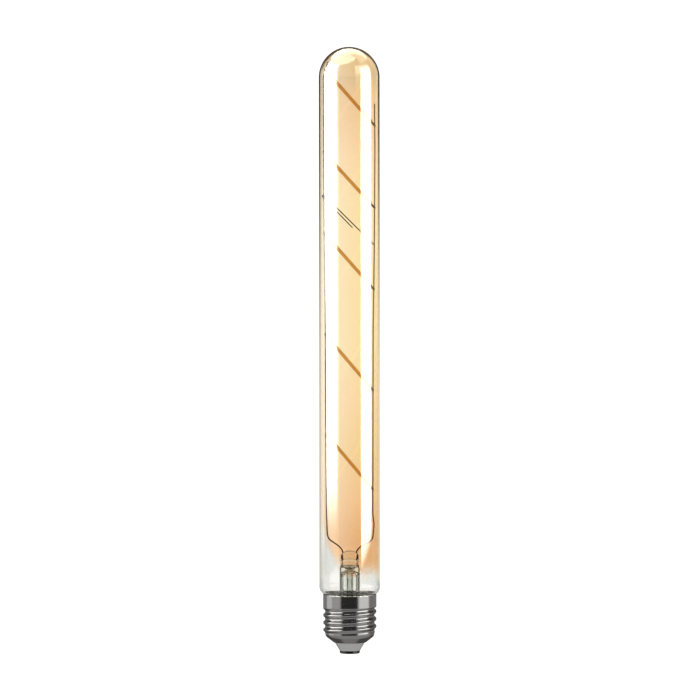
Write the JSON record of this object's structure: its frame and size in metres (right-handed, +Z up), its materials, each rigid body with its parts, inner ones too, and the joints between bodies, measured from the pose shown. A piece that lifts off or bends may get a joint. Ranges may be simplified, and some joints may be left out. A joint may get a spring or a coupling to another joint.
{
  "type": "tubular light bulb",
  "caption": "Tall tubular filament lamp: amber-coated glass with a round dome, LED strips set diagonally between two wire rails, and a metal screw cap.",
  "frame": {"origin": "centre of the bottom face of the centre contact", "axes": "+Z up the lamp's axis from the contact to the dome, +X to the right across the two rails, -Y the side from which the strips fall from upper left to lower right"},
  "size_m": [0.03, 0.03, 0.299],
  "materials": {
    "amber_glass": "blown tube with a gold-amber coating that fades out near the cap",
    "clear_glass": "clear glass, fire polished",
    "rail_wire": "drawn nickel-iron wire, dark from its oxide",
    "seal_wire": "copper-clad wire, oxidised red",
    "lead_wire": "drawn copper wire",
    "strip_coating": "moulded silicone filled with orange phosphor",
    "tab_metal": "stamped strip, plated",
    "cap_metal": "rolled sheet, nickel plated, bright",
    "contact_metal": "turned, nickel plated, satin",
    "insulator_plastic": "moulded pale grey plastic",
    "cement": "set basing cement",
    "board": "glass-fibre laminate with green solder mask",
    "chip_plastic": "moulded epoxy",
    "capacitor_sleeve": "shrunk sleeve",
    "resistor_enamel": "baked enamel"
  },
  "bodies": {
    "root": {"glass_envelope": "amber_glass", "stem_flare": "clear_glass", "exhaust_tube": "clear_glass", "left_rail": "rail_wire", "right_rail": "rail_wire", "left_seal_wire": "seal_wire", "right_seal_wire": "seal_wire", "left_outer_lead": "lead_wire", "right_outer_lead": "lead_wire", "rail_brace": "rail_wire", "brace_bead": "clear_glass", "cap_shell": "cap_metal", "basing_cement": "cement", "cap_insulator": "insulator_plastic", "centre_contact": "contact_metal", "live_wire": "lead_wire", "neutral_wire": "lead_wire", "driver_board": "board", "bridge_rectifier": "chip_plastic", "regulator_chip": "chip_plastic", "smoothing_capacitor": "capacitor_sleeve", "fusible_resistor": "resistor_enamel", "filament_strip_1": "strip_coating", "filament_left_tab_1": "tab_metal", "filament_right_tab_1": "tab_metal", "filament_strip_2": "strip_coating", "filament_left_tab_2": "tab_metal", "filament_right_tab_2": "tab_metal", "filament_strip_3": "strip_coating", "filament_left_tab_3": "tab_metal", "filament_right_tab_3": "tab_metal", "filament_strip_4": "strip_coating", "filament_left_tab_4": "tab_metal", "filament_right_tab_4": "tab_metal", "filament_strip_5": "strip_coating", "filament_left_tab_5": "tab_metal", "filament_right_tab_5": "tab_metal"}
  },
  "joints": []
}
